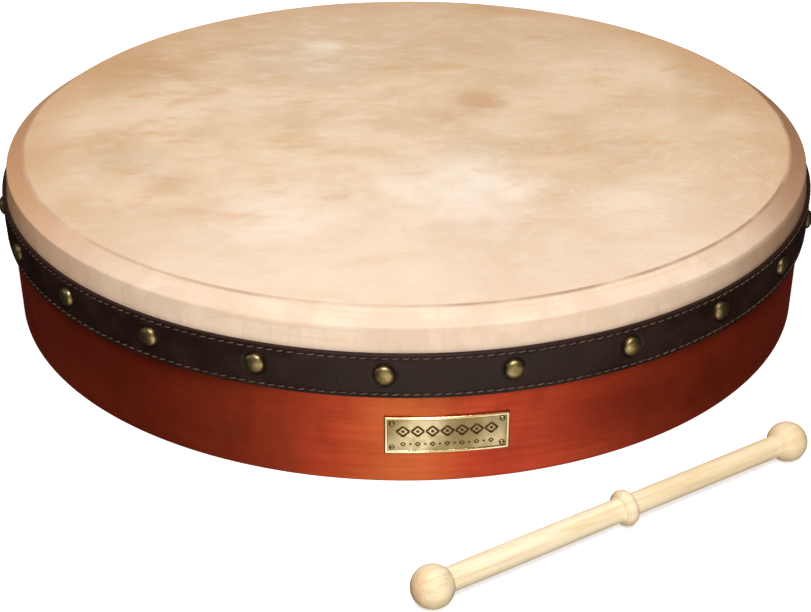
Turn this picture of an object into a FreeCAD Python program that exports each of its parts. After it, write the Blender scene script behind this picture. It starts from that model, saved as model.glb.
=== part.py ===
import FreeCAD, Part
import math
import os

import Sketcher

# A bodhran, a shallow frame drum, lying on its rim with the skin up, and its tipper beside it.
# Millimetres and degrees. Origin: centre of the rim's bottom edge, on the drum's axis.
# +Z: up through the skin. -Y: the side that carries the nameplate.

SIZES = {
    # Bent rim, 18 inches across, bevelled outside at the head end.
    "rim_radius": 228.6,
    "rim_wall": 7.0,
    "rim_edge_round": 0.8,
    "bevel_foot": 85.6,
    "bearing_height": 90.4,
    "bearing_radius": 218.1,
    # Inner hoop that carries the bearing edge.
    "hoop_wall": 8.0,
    "hoop_foot": 62.0,
    "hoop_round": 4.0,
    # Skin: flat to the crease, down the bevel to the shoulder, then down the side to its hem.
    "skin_thickness": 1.2,
    "head_height": 91.6,
    "crease_radius": 218.4,
    "shoulder_radius": 229.9,
    "shoulder_height": 86.3,
    "skin_hem": 50.5,
    # Leather strip, its ends butted at the back.
    "strip_thickness": 2.0,
    "strip_foot": 49.5,
    "strip_top": 73.0,
    "strip_arc": 359.75,
    "strip_edge_round": 0.6,
    # Stitching, drawn as one thread lying in a groove near each edge of the strip.
    "stitch_inset": 1.6,
    "thread_width": 0.9,
    "groove_depth": 0.5,
    "thread_proud": 0.3,
    # Dome-headed tacks.
    "tack_count": 24,
    "tack_pitch": 15.0,
    "tack_spread": "=(tack_count - 1) * tack_pitch",
    "tack_height": 62.3,
    "tack_head_radius": 5.4,
    "tack_head_rise": 3.2,
    "tack_shank_radius": 1.0,
    "tack_tip_radius": 222.8,
    "tack_tip_length": 2.0,
    # Brass nameplate, curved to the rim, and its four pins.
    "plate_arc": 15.0,
    "plate_foot": 17.0,
    "plate_top": 37.4,
    "plate_thickness": 1.4,
    "plate_border": 1.6,
    "plate_border_arc": 0.4,
    "plate_field_depth": 0.4,
    "pin_arc": 13.2,
    "pin_inset": 3.4,
    "pin_head_radius": 1.5,
    "pin_head_rise": 1.0,
    "pin_round": 0.7,
    "pin_shank_radius": 0.7,
    "pin_tip_radius": 223.4,
    # Crossbars, halved into each other, in blocks glued inside the rim.
    "bar_reach": 221.1,
    "bar_width": 22.0,
    "bar_half_width": "=bar_width / 2",
    "bar_thickness": 12.0,
    "bar_half_thickness": "=bar_thickness / 2",
    "bar_foot": 12.0,
    "bar_slot_gap": 0.4,
    "block_width": 46.0,
    "block_arc": "=block_width / (rim_radius - rim_wall) * 180 / pi",
    "block_depth": 18.0,
    "block_rise": 20.0,
    # Countersunk screws, one in each bar end.
    "screw_place": 212.6,
    "screw_radius": 2.0,
    "screw_sink": 2.0,
    "screw_length": 17.0,
    "screw_point": 3.0,
    "screw_slot_width": 1.0,
    "screw_slot_depth": 0.9,
    # Tipper: a turned beater with a ball at each end and a collar near its middle.
    "ball_radius": 9.9,
    "ball_place": 103.3,
    "left_shaft_radius": 5.65,
    "right_shaft_radius": 5.35,
    "collar_left": 2.5,
    "collar_width": 7.4,
    "collar_radius": 8.6,
    "collar_round": 2.7,
    "tipper_right": 76.1,
    "tipper_forward": 271.8,
    "tipper_heading": 27.1,
    # How far a cut from inside runs on past the rim's outside.
    "past_the_rim": 30.0,
}

BACK = 90.0
FRONT = -90.0
FULL_TURN = 360.0
QUARTER_TURN = 90.0

# Two lengths this near are the same; a cut that takes less than this volume took nothing.
SAME = 0.01
LEAST_CUT = 0.1

doc = FreeCAD.newDocument("Bodhran")


def make_sheet():
    """Keep every driving dimension in a spreadsheet, one alias a row."""
    cells = doc.addObject("Spreadsheet::Sheet", "sizes")
    for row, (name, value) in enumerate(SIZES.items(), start=1):
        cells.set(f"A{row}", name)
        cells.set(f"B{row}", str(value))
        cells.setAlias(f"B{row}", name)
    doc.recompute()
    return cells


sheet = make_sheet()


def size(terms):
    """Add up signed sheet names, such as "rim_radius -rim_wall"; no names at all make zero."""
    total = 0.0
    for term in terms.split():
        sign = -1.0 if term.startswith("-") else 1.0
        total += sign * float(sheet.get(term.lstrip("-")))
    return total


def formula(terms):
    """Write the same sum as an expression on the sheet."""
    signed = []
    for term in terms.split():
        sign = "-" if term.startswith("-") else "+"
        signed.append(f"{sign} sizes.{term.lstrip('-')}")
    return " ".join(signed).lstrip("+ ")


def bind(thing, name, terms):
    """Set a size from the sheet and keep it bound there."""
    thing.setExpression(name, formula(terms))


def make_body(name):
    body = doc.addObject("PartDesign::Body", name)
    body.Label = name
    body.AllowCompound = True
    return body


def origin_feature(body, role):
    for feature in body.Origin.OriginFeatures:
        if feature.Role == role:
            return feature
    raise ValueError(f"{body.Label} has no {role}")


def make_sketch(body, name, plane="XZ_Plane", azimuth=0.0, offset=0.0):
    """Lay a sketch on an origin plane, turned about the vertical and moved along its normal.

    On XZ_Plane the sketch's x points along the azimuth and its y points up.
    """
    sketch = body.newObject("Sketcher::SketchObject", f"{body.Name}_{name}")
    sketch.AttachmentSupport = [(origin_feature(body, plane), "")]
    sketch.MapMode = "FlatFace"
    upright = FreeCAD.Vector(0, 1, 0)
    turn = FreeCAD.Rotation(upright, azimuth)
    along_normal = turn.multVec(FreeCAD.Vector(0, 0, offset))
    sketch.AttachmentOffset = FreeCAD.Placement(along_normal, turn)
    return sketch


def radial_sketch(body, name, azimuth, radius):
    """Lay a sketch square to the drum's radius at an azimuth, that far from the axis."""
    return make_sketch(body, name, azimuth=azimuth - FRONT, offset=radius)


def pin_point(sketch, geometry, end, across, up):
    """Hold one point of a sketch at the sheet's distances from the sketch's origin."""
    for axis, kind, terms in ((-2, "DistanceX", across), (-1, "DistanceY", up)):
        if not terms:
            sketch.addConstraint(Sketcher.Constraint("PointOnObject", geometry, end, axis))
            continue
        held = Sketcher.Constraint(kind, -1, 1, geometry, end, size(terms))
        number = sketch.addConstraint(held)
        bind(sketch, f"Constraints[{number}]", terms)


def draw_outline(sketch, corners):
    """Join the corners with straight edges into a closed loop."""
    first = sketch.GeometryCount
    spots = [FreeCAD.Vector(size(across), size(up), 0) for across, up in corners]
    for start, end in zip(spots, spots[1:] + spots[:1]):
        sketch.addGeometry(Part.LineSegment(start, end), False)
    for step, (across, up) in enumerate(corners):
        here = first + step
        following = first + (step + 1) % len(corners)
        sketch.addConstraint(Sketcher.Constraint("Coincident", here, 2, following, 1))
        pin_point(sketch, here, 1, across, up)


def draw_circle(sketch, across, up, radius):
    """Draw a circle whose centre and radius are bound to the sheet."""
    centre = FreeCAD.Vector(size(across), size(up), 0)
    upright = FreeCAD.Vector(0, 0, 1)
    number = sketch.addGeometry(Part.Circle(centre, upright, size(radius)), False)
    pin_point(sketch, number, 3, across, up)
    held = sketch.addConstraint(Sketcher.Constraint("Radius", number, size(radius)))
    bind(sketch, f"Constraints[{held}]", radius)


def draw_axis(sketch, start, end):
    """Draw the construction line that a fastener turns about."""
    spots = [FreeCAD.Vector(size(across), size(up), 0) for across, up in (start, end)]
    number = sketch.addGeometry(Part.LineSegment(*spots), True)
    pin_point(sketch, number, 1, *start)
    pin_point(sketch, number, 2, *end)
    return number


def revolve(body, sketch, axis, arc=None, kind="Revolution"):
    """Turn a sketch about an axis: all the way round, or evenly to both sides by an arc."""
    feature = body.newObject(f"PartDesign::{kind}", f"{sketch.Name}_{kind.lower()}")
    feature.Profile = sketch
    feature.ReferenceAxis = (sketch, [axis])
    feature.Angle = FULL_TURN
    if arc:
        feature.Midplane = True
        bind(feature, "Angle", arc)
    sketch.Visibility = False
    doc.recompute()
    return feature


def extrude(body, sketch, length, kind="Pad", reverse=False):
    """Pad or pocket a sketch by a length from the sheet."""
    feature = body.newObject(f"PartDesign::{kind}", f"{sketch.Name}_{kind.lower()}")
    feature.Profile = sketch
    bind(feature, "Length", length)
    feature.Reversed = reverse
    sketch.Visibility = False
    doc.recompute()
    return feature


def extrude_both_ways(body, sketch, length, kind="Pad"):
    """Pad or pocket a sketch evenly to both sides of its plane."""
    feature = extrude(body, sketch, length, kind)
    feature.Midplane = True
    doc.recompute()
    return feature


def cut_outward(body, sketch, radius):
    """Cut from a radial sketch outward, past the rim, and make sure that it cut something."""
    before = body.Shape.Volume
    feature = body.newObject("PartDesign::Pocket", f"{sketch.Name}_pocket")
    feature.Profile = sketch
    bind(feature, "Length", f"rim_radius -{radius} past_the_rim")
    feature.Reversed = True
    doc.recompute()
    check_cut(body, before)
    return feature


def check_cut(body, before):
    if body.Shape.Volume > before - LEAST_CUT:
        raise ValueError(f"a cut in {body.Label} took nothing away")


def repeat_round(body, features, name, count=2, arc=None):
    """Repeat features about the drum's axis, evenly all the way round or over an arc from the sheet."""
    pattern = body.newObject("PartDesign::PolarPattern", name)
    pattern.Originals = features
    pattern.Axis = (origin_feature(body, "Z_Axis"), [""])
    pattern.Angle = FULL_TURN
    pattern.Occurrences = count
    if arc:
        bind(pattern, "Angle", arc)
    body.Tip = pattern
    doc.recompute()


def repeat_tacks(body, feature):
    """Repeat the first tack, or its hole, from one side of the strip's seam round to the other."""
    count = int(size("tack_count"))
    repeat_round(body, [feature], f"{body.Name}_tacks_round", count, "tack_spread")


def soften(body, kind, terms, is_chosen, property_name):
    """Fillet or chamfer the body's edges that is_chosen picks."""
    tip = body.Tip
    names = [
        f"Edge{number}"
        for number, edge in enumerate(tip.Shape.Edges, start=1)
        if not edge.Degenerated and is_chosen(edge)
    ]
    if not names:
        raise ValueError(f"{body.Label} has no edge to soften")
    feature = body.newObject(f"PartDesign::{kind}", f"{body.Name}_{kind.lower()}_{len(body.Group)}")
    feature.Base = (tip, names)
    bind(feature, property_name, terms)
    doc.recompute()
    return feature


def round_edges(body, terms, is_chosen):
    return soften(body, "Fillet", terms, is_chosen, "Radius")


def bevel_edges(body, terms, is_chosen):
    return soften(body, "Chamfer", terms, is_chosen, "Size")


def near(value, wanted):
    return abs(value - wanted) < SAME


def circle_at(radius, height):
    """Pick the level circles of a radius at a height."""

    def is_chosen(edge):
        curve = edge.Curve
        if not isinstance(curve, Part.Circle) or not near(abs(curve.Axis.z), 1.0):
            return False
        return near(curve.Radius, radius) and near(curve.Center.z, height)

    return is_chosen


# Rim, hoop, skin and strip ------------------------------------------------------------------------


def tack_azimuth():
    """The azimuth of the first tack, half a gap past the strip's seam at the back."""
    return BACK + (FULL_TURN - size("tack_spread")) / 2


def drill_tack_holes(body):
    """Drill the pilot holes of all the tacks through a body of the drum's side."""
    sketch = radial_sketch(body, "tack_hole", tack_azimuth(), size("tack_tip_radius"))
    draw_circle(sketch, "", "tack_height", "tack_shank_radius")
    repeat_tacks(body, cut_outward(body, sketch, "tack_tip_radius"))


def drill_pin_holes(body):
    """Drill the four pilot holes behind the nameplate's corners."""
    azimuth = FRONT - size("pin_arc") / 2
    sketch = radial_sketch(body, "pin_hole", azimuth, size("pin_tip_radius"))
    draw_circle(sketch, "", "plate_foot pin_inset", "pin_shank_radius")
    draw_circle(sketch, "", "plate_top -pin_inset", "pin_shank_radius")
    hole = cut_outward(body, sketch, "pin_tip_radius")
    repeat_round(body, [hole], f"{body.Name}_pin_holes", arc="pin_arc")


def cut_bearing_bevel(body):
    """Cut the outside bevel that runs across the rim and onto the hoop."""
    before = body.Shape.Volume
    sketch = make_sketch(body, "bevel")
    draw_outline(sketch, [
        ("rim_radius", "bevel_foot"),
        ("rim_radius", "bearing_height"),
        ("bearing_radius", "bearing_height"),
    ])
    revolve(body, sketch, "V_Axis", kind="Groove")
    check_cut(body, before)


def make_ring(name, inner, outer, foot, top):
    """A body that is a plain ring about the drum's axis."""
    body = make_body(name)
    sketch = make_sketch(body, "section")
    draw_outline(sketch, [(inner, foot), (outer, foot), (outer, top), (inner, top)])
    revolve(body, sketch, "V_Axis")
    return body


def make_rim_shell():
    body = make_ring("rim_shell", "rim_radius -rim_wall", "rim_radius", "", "bearing_height")
    cut_bearing_bevel(body)
    outside = circle_at(size("rim_radius"), 0.0)
    inside = circle_at(size("rim_radius -rim_wall"), 0.0)
    round_edges(body, "rim_edge_round", lambda edge: outside(edge) or inside(edge))
    drill_tack_holes(body)
    drill_pin_holes(body)
    return body


def make_bearing_hoop():
    inner = "rim_radius -rim_wall -hoop_wall"
    body = make_ring("bearing_hoop", inner, "rim_radius -rim_wall", "hoop_foot", "bearing_height")
    cut_bearing_bevel(body)
    round_edges(body, "hoop_round", circle_at(size(inner), size("bearing_height")))
    return body


def make_skin_head():
    """The skin as one thin cap: flat, bevel, side and cut hem."""
    body = make_body("skin_head")
    sketch = make_sketch(body, "section")
    draw_outline(sketch, [
        ("", "head_height"),
        ("crease_radius", "head_height"),
        ("shoulder_radius", "shoulder_height"),
        ("shoulder_radius", "skin_hem"),
        ("shoulder_radius -skin_thickness", "skin_hem"),
        ("shoulder_radius -skin_thickness", "bevel_foot"),
        ("bearing_radius", "bearing_height"),
        ("", "bearing_height"),
    ])
    revolve(body, sketch, "V_Axis")
    drill_tack_holes(body)
    return body


def seam_sketch(body, name):
    """A section sketch opposite the seam, so that an even arc ends on both sides of it."""
    return make_sketch(body, name, azimuth=FRONT)


def make_trim_strip():
    body = make_body("trim_strip")
    sketch = seam_sketch(body, "section")
    inner = "shoulder_radius"
    outer = "shoulder_radius strip_thickness"
    floor = "shoulder_radius strip_thickness -groove_depth"
    draw_outline(sketch, [
        (inner, "strip_foot"),
        (outer, "strip_foot"),
        (outer, "strip_foot stitch_inset"),
        (floor, "strip_foot stitch_inset"),
        (floor, "strip_foot stitch_inset thread_width"),
        (outer, "strip_foot stitch_inset thread_width"),
        (outer, "strip_top -stitch_inset -thread_width"),
        (floor, "strip_top -stitch_inset -thread_width"),
        (floor, "strip_top -stitch_inset"),
        (outer, "strip_top -stitch_inset"),
        (outer, "strip_top"),
        (inner, "strip_top"),
    ])
    revolve(body, sketch, "V_Axis", arc="strip_arc")
    upper = circle_at(size(outer), size("strip_top"))
    lower = circle_at(size(outer), size("strip_foot"))
    round_edges(body, "strip_edge_round", lambda edge: upper(edge) or lower(edge))
    drill_tack_holes(body)
    return body


def make_stitching(name, foot):
    """One thread, lying in its groove all the way round from seam to seam."""
    body = make_body(name)
    sketch = seam_sketch(body, "section")
    inner = "shoulder_radius strip_thickness -groove_depth"
    outer = "shoulder_radius strip_thickness thread_proud"
    top = f"{foot} thread_width"
    draw_outline(sketch, [(inner, foot), (outer, foot), (outer, top), (inner, top)])
    revolve(body, sketch, "V_Axis", arc="strip_arc")
    return body


# Brass --------------------------------------------------------------------------------------------


def make_dome_tacks():
    """All the tacks: a domed head on the strip, and a shank that ends in a cone."""
    body = make_body("dome_tacks")
    sketch = make_sketch(body, "section", azimuth=tack_azimuth())
    axis = draw_axis(sketch, ("", "tack_height"), ("rim_radius", "tack_height"))
    seat = "shoulder_radius strip_thickness"
    crown = f"{seat} tack_head_rise"
    middle = "tack_height"
    shank = "tack_height tack_shank_radius"
    rise = size("tack_head_rise")
    reach = size("tack_head_radius")
    dome_radius = (reach * reach + rise * rise) / (2 * rise)
    centre = FreeCAD.Vector(size(crown) - dome_radius, size(middle), 0)
    sphere = Part.Circle(centre, FreeCAD.Vector(0, 0, 1), dome_radius)
    brim_angle = math.atan2(reach, dome_radius - rise)
    dome = sketch.addGeometry(Part.ArcOfCircle(sphere, 0, brim_angle), False)
    corners = [
        (seat, "tack_height tack_head_radius"),
        (seat, shank),
        ("tack_tip_radius tack_tip_length", shank),
        ("tack_tip_radius", middle),
        (crown, middle),
    ]
    spots = [FreeCAD.Vector(size(across), size(up), 0) for across, up in corners]
    for step, (start, end) in enumerate(zip(spots, spots[1:]), start=dome + 1):
        sketch.addGeometry(Part.LineSegment(start, end), False)
        pin_point(sketch, step, 1, *corners[step - dome - 1])
        if step > dome + 1:
            sketch.addConstraint(Sketcher.Constraint("Coincident", step - 1, 2, step, 1))
    last = dome + len(spots) - 1
    pin_point(sketch, last, 2, *corners[-1])
    sketch.addConstraint(Sketcher.Constraint("Coincident", dome, 2, dome + 1, 1))
    sketch.addConstraint(Sketcher.Constraint("Coincident", dome, 1, last, 2))
    sketch.addConstraint(Sketcher.Constraint("PointOnObject", dome, 3, axis))
    repeat_tacks(body, revolve(body, sketch, "Axis0"))
    return body


def make_nameplate():
    """The plate, with a sunk field inside a plain border, and a hole near each corner."""
    body = make_body("nameplate")
    sketch = make_sketch(body, "section", azimuth=FRONT)
    outer = "rim_radius plate_thickness"
    draw_outline(sketch, [
        ("rim_radius", "plate_foot"),
        (outer, "plate_foot"),
        (outer, "plate_top"),
        ("rim_radius", "plate_top"),
    ])
    revolve(body, sketch, "V_Axis", arc="plate_arc")
    before = body.Shape.Volume
    field = make_sketch(body, "field", azimuth=FRONT)
    floor = "rim_radius plate_thickness -plate_field_depth"
    draw_outline(field, [
        (floor, "plate_foot plate_border"),
        (outer, "plate_foot plate_border"),
        (outer, "plate_top -plate_border"),
        (floor, "plate_top -plate_border"),
    ])
    arc = "plate_arc -plate_border_arc -plate_border_arc"
    revolve(body, field, "V_Axis", arc=arc, kind="Groove")
    check_cut(body, before)
    drill_pin_holes(body)
    return body


def make_nameplate_pins():
    """Four round-headed pins, the heads seated in the plate's field."""
    body = make_body("nameplate_pins")
    azimuth = FRONT - size("pin_arc") / 2
    seat = "rim_radius plate_thickness -plate_field_depth"
    head_sketch = radial_sketch(body, "heads", azimuth, size(seat))
    shank_sketch = radial_sketch(body, "shanks", azimuth, size("pin_tip_radius"))
    for sketch, radius in ((head_sketch, "pin_head_radius"), (shank_sketch, "pin_shank_radius")):
        draw_circle(sketch, "", "plate_foot pin_inset", radius)
        draw_circle(sketch, "", "plate_top -pin_inset", radius)
    heads = extrude(body, head_sketch, "pin_head_rise")

    def is_crown(edge):
        curve = edge.Curve
        if not isinstance(curve, Part.Circle):
            return False
        toward_axis = curve.Center.x * curve.Axis.x + curve.Center.y * curve.Axis.y
        return abs(toward_axis) > size(seat) + size("pin_head_rise") / 2

    crowns = round_edges(body, "pin_round", is_crown)
    shanks = extrude(body, shank_sketch, f"{seat} -pin_tip_radius")
    repeat_round(body, [heads, crowns, shanks], "nameplate_pins_round", arc="pin_arc")
    return body


# Crossbars and their fixings ----------------------------------------------------------------------


def make_crossbar(name, lap_foot, turn):
    """A bar from side to side, with half its thickness taken away where the other crosses it."""
    body = make_body(name)
    blank = make_sketch(body, "blank")
    draw_outline(blank, [
        ("-bar_reach", "bar_foot"),
        ("bar_reach", "bar_foot"),
        ("bar_reach", "bar_foot bar_thickness"),
        ("-bar_reach", "bar_foot bar_thickness"),
    ])
    extrude_both_ways(body, blank, "bar_width")
    before = body.Shape.Volume
    lap = make_sketch(body, "lap")
    lap_top = f"{lap_foot} bar_half_thickness"
    draw_outline(lap, [
        ("-bar_half_width", lap_foot),
        ("bar_half_width", lap_foot),
        ("bar_half_width", lap_top),
        ("-bar_half_width", lap_top),
    ])
    extrude_both_ways(body, lap, "bar_width bar_slot_gap", kind="Pocket")
    check_cut(body, before)
    drill_screw_holes(body)
    body.Placement = FreeCAD.Placement(
        FreeCAD.Vector(0, 0, 0), FreeCAD.Rotation(FreeCAD.Vector(0, 0, 1), turn)
    )
    return body


def drill_screw_holes(body):
    """Drill and countersink a screw hole near each end of a bar, from its underside."""
    before = body.Shape.Volume
    sketch = make_sketch(body, "screw_holes", plane="XY_Plane")
    draw_circle(sketch, "screw_place", "", "screw_radius")
    draw_circle(sketch, "-screw_place", "", "screw_radius")
    extrude(body, sketch, "bar_foot bar_thickness bar_thickness", "Pocket", reverse=True)
    check_cut(body, before)
    bevel_edges(body, "screw_sink", circle_at(size("screw_radius"), size("bar_foot")))


def make_bar_block(name, azimuth):
    """A block glued inside the rim, slotted from below for a bar's end."""
    body = make_body(name)
    blank = make_sketch(body, "section")
    inner = "rim_radius -rim_wall -block_depth"
    outer = "rim_radius -rim_wall"
    top = "bar_foot block_rise"
    draw_outline(blank, [(inner, "bar_foot"), (outer, "bar_foot"), (outer, top), (inner, top)])
    revolve(body, blank, "V_Axis", arc="block_arc")
    before = body.Shape.Volume
    slot = make_sketch(body, "slot")
    draw_outline(slot, [
        ("", "bar_foot"),
        ("rim_radius", "bar_foot"),
        ("rim_radius", "bar_foot bar_thickness"),
        ("", "bar_foot bar_thickness"),
    ])
    extrude_both_ways(body, slot, "bar_width bar_slot_gap", kind="Pocket")
    check_cut(body, before)
    before = body.Shape.Volume
    pilot = make_sketch(body, "pilot", plane="XY_Plane")
    draw_circle(pilot, "screw_place", "", "screw_radius")
    extrude(body, pilot, "bar_foot screw_length", kind="Pocket", reverse=True)
    check_cut(body, before)
    body.Placement = FreeCAD.Placement(
        FreeCAD.Vector(0, 0, 0), FreeCAD.Rotation(FreeCAD.Vector(0, 0, 1), azimuth)
    )
    return body


def make_bar_screws():
    """Four slotted countersunk screws, heads down, flush with the bars' undersides."""
    body = make_body("bar_screws")
    sketch = make_sketch(body, "section")
    draw_outline(sketch, [
        ("screw_place", "bar_foot"),
        ("screw_place screw_radius screw_sink", "bar_foot"),
        ("screw_place screw_radius", "bar_foot screw_sink"),
        ("screw_place screw_radius", "bar_foot screw_length -screw_point"),
        ("screw_place", "bar_foot screw_length"),
    ])
    draw_axis(sketch, ("screw_place", "bar_foot"), ("screw_place", "bar_foot screw_length"))
    screw = revolve(body, sketch, "Axis0")
    before = body.Shape.Volume
    slot_sketch = make_sketch(body, "driver_slot")
    inner = "screw_place -screw_radius -screw_sink"
    outer = "screw_place screw_radius screw_sink"
    top = "bar_foot screw_slot_depth"
    draw_outline(slot_sketch, [(inner, "bar_foot"), (outer, "bar_foot"), (outer, top), (inner, top)])
    slot = extrude_both_ways(body, slot_sketch, "screw_slot_width", kind="Pocket")
    check_cut(body, before)
    repeat_round(body, [screw, slot], "bar_screws_round", count=4)
    return body


# Tipper -------------------------------------------------------------------------------------------


def make_tipper():
    """The beater, turned about its own length: ball, shaft, collar, slimmer shaft, ball."""
    body = make_body("tipper")
    sketch = make_sketch(body, "section")
    upright = FreeCAD.Vector(0, 0, 1)
    ball = size("ball_radius")
    place = size("ball_place")
    left_neck = math.asin(size("left_shaft_radius") / ball)
    right_neck = math.pi - math.asin(size("right_shaft_radius") / ball)
    left_ball = Part.Circle(FreeCAD.Vector(-place, 0, 0), upright, ball)
    right_ball = Part.Circle(FreeCAD.Vector(place, 0, 0), upright, ball)
    left = sketch.addGeometry(Part.ArcOfCircle(left_ball, left_neck, math.pi), False)
    right = sketch.addGeometry(Part.ArcOfCircle(right_ball, 0, right_neck), False)
    for arc, centre in ((left, "-ball_place"), (right, "ball_place")):
        pin_point(sketch, arc, 3, centre, "")
        held = sketch.addConstraint(Sketcher.Constraint("Radius", arc, ball))
        bind(sketch, f"Constraints[{held}]", "ball_radius")
    collar_right = "collar_width -collar_left"
    turned = [
        ("-collar_left", "left_shaft_radius"),
        ("-collar_left", "collar_radius"),
        (collar_right, "collar_radius"),
        (collar_right, "right_shaft_radius"),
    ]
    spots = [FreeCAD.Vector(size(across), size(up), 0) for across, up in turned]
    left_end = FreeCAD.Vector(math.cos(left_neck) * ball - place, spots[0].y, 0)
    right_end = FreeCAD.Vector(math.cos(right_neck) * ball + place, spots[-1].y, 0)
    spots = [left_end, *spots, right_end]
    first = sketch.GeometryCount
    for start, end in zip(spots, spots[1:]):
        sketch.addGeometry(Part.LineSegment(start, end), False)
    last = sketch.GeometryCount - 1
    for step, (across, up) in enumerate(turned, start=first + 1):
        sketch.addConstraint(Sketcher.Constraint("Coincident", step - 1, 2, step, 1))
        pin_point(sketch, step, 1, across, up)
    for line in (first, last):
        sketch.addConstraint(Sketcher.Constraint("Horizontal", line))
    sketch.addConstraint(Sketcher.Constraint("Coincident", first, 1, left, 1))
    sketch.addConstraint(Sketcher.Constraint("Coincident", last, 2, right, 2))
    tip = FreeCAD.Vector(place + ball, 0, 0)
    spine = sketch.addGeometry(Part.LineSegment(tip, -tip), False)
    sketch.addConstraint(Sketcher.Constraint("Coincident", right, 1, spine, 1))
    sketch.addConstraint(Sketcher.Constraint("Coincident", spine, 2, left, 2))
    for end in (1, 2):
        sketch.addConstraint(Sketcher.Constraint("PointOnObject", spine, end, -1))
    revolve(body, sketch, "H_Axis")
    radius = size("collar_radius")

    def is_collar_brim(edge):
        return isinstance(edge.Curve, Part.Circle) and near(edge.Curve.Radius, radius)

    round_edges(body, "collar_round", is_collar_brim)
    body.Placement = FreeCAD.Placement(
        FreeCAD.Vector(size("tipper_right"), -size("tipper_forward"), ball),
        FreeCAD.Rotation(upright, size("tipper_heading")),
    )
    return body


def make_all():
    pieces = [
        make_rim_shell(),
        make_bearing_hoop(),
        make_skin_head(),
        make_trim_strip(),
        make_stitching("lower_stitching", "strip_foot stitch_inset"),
        make_stitching("upper_stitching", "strip_top -stitch_inset -thread_width"),
        make_dome_tacks(),
        make_nameplate(),
        make_nameplate_pins(),
        make_crossbar("crossbar_left_right", "bar_foot", 0.0),
        make_crossbar("crossbar_front_back", "bar_foot bar_half_thickness", QUARTER_TURN),
        make_bar_screws(),
        make_tipper(),
    ]
    for turn, side in enumerate(("right", "back", "left", "front")):
        pieces.append(make_bar_block(f"bar_block_{side}", turn * QUARTER_TURN))
    return pieces


def check_document():
    """Stop if any object failed to recompute."""
    doc.recompute()
    for thing in doc.Objects:
        bad = {"Invalid", "Error"} & set(thing.State)
        if bad:
            raise ValueError(f"{thing.Label} is {bad}")


def export_all(pieces):
    """Write each sub-part's solids, once every one of them is whole and valid."""
    os.makedirs("parts", exist_ok=True)
    for piece in pieces:
        shape = piece.Shape
        if shape.isNull() or not shape.isValid():
            raise ValueError(f"{piece.Label} has no valid shape")
    for piece in pieces:
        shape = piece.Shape
        shape.exportStep(f"parts/{piece.Label}.step")
        print(f"{piece.Label}: {len(shape.Solids)} solids, {shape.Volume / 1000:.2f} cm3")


made = make_all()
check_document()
export_all(made)
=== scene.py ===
import math
import random

import bmesh
import bpy
import numpy as np
from mathutils import Matrix, Vector


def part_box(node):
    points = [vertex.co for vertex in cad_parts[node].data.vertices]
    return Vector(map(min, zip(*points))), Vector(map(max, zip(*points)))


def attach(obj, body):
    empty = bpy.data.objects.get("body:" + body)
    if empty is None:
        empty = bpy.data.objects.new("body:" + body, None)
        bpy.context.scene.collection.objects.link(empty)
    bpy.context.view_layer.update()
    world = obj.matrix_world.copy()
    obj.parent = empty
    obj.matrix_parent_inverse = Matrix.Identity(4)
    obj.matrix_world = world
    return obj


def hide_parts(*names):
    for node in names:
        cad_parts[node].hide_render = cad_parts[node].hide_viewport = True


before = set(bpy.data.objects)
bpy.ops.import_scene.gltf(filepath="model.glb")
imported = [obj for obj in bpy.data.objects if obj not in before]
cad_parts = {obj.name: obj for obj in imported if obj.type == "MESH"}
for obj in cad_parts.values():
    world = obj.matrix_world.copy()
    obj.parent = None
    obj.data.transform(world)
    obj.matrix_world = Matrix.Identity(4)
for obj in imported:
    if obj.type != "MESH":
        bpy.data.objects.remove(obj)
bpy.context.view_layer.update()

# A bodhran on a white table with its tipper in front of it. Metres, in the frame of the CAD model:
# the drum's axis is Z, its rim stands on z = 0 and its nameplate faces -Y.

chance = random.Random(1891)
noise_dice = np.random.default_rng(1891)

MM = 0.001
FRONT = math.radians(-90)
BACK = math.radians(90)
FULL_TURN = 2 * math.pi

# Sizes and places read from the frame ----------

skin_low, skin_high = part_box("skin_head")
strip_low, strip_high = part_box("trim_strip")
rim_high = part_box("rim_shell")[1]
hoop_low, hoop_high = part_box("bearing_hoop")
plate_low, plate_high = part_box("nameplate")

HEAD_HEIGHT = skin_high.z
SHOULDER_RADIUS = skin_high.x
SKIN_HEM = skin_low.z
SKIN_THICKNESS = 1.2 * MM
BEVEL_ACROSS = 11.5 * MM
BEVEL_DROP = 6.3 * MM
CREASE_RADIUS = SHOULDER_RADIUS - BEVEL_ACROSS
SHOULDER_HEIGHT = HEAD_HEIGHT - BEVEL_DROP
# Above the strip the side leans in a little towards the shoulder.
SIDE_LEAN = 1.8 * MM
RIM_RADIUS = rim_high.x
RIM_WALL = 7.0 * MM
RIM_TOP = rim_high.z
RIM_BEVEL_FOOT = 84.0 * MM
RIM_EASE = 0.8 * MM
HOOP_WALL = 8.0 * MM
STRIP_THICKNESS = 2.0 * MM
STRIP_RADIUS = SHOULDER_RADIUS + STRIP_THICKNESS
STRIP_FOOT = strip_low.z
STRIP_TOP = strip_high.z
STRIP_EDGE = 0.6 * MM
STRIP_SEAM = 1.0 * MM

STITCH_INSET = 2.05 * MM
STITCH_PITCH = 4.95 * MM
STITCH_LENGTH = 3.5 * MM
STITCH_SLANT = 9.0
THREAD_RADIUS = 0.33 * MM

TACK_COUNT = 24
TACK_PITCH = math.radians(15.0)
TACK_HEIGHT = 62.3 * MM
TACK_RADIUS = 5.4 * MM
TACK_RISE = 3.2 * MM
FIRST_TACK = BACK + (FULL_TURN - (TACK_COUNT - 1) * TACK_PITCH) / 2
# The tacks are driven by hand, so each stands a little off its even place.
TACK_STRAY = math.radians(0.25)
TACK_AZIMUTHS = [
    FIRST_TACK + step * TACK_PITCH + chance.uniform(-TACK_STRAY, TACK_STRAY)
    for step in range(TACK_COUNT)
]

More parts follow.
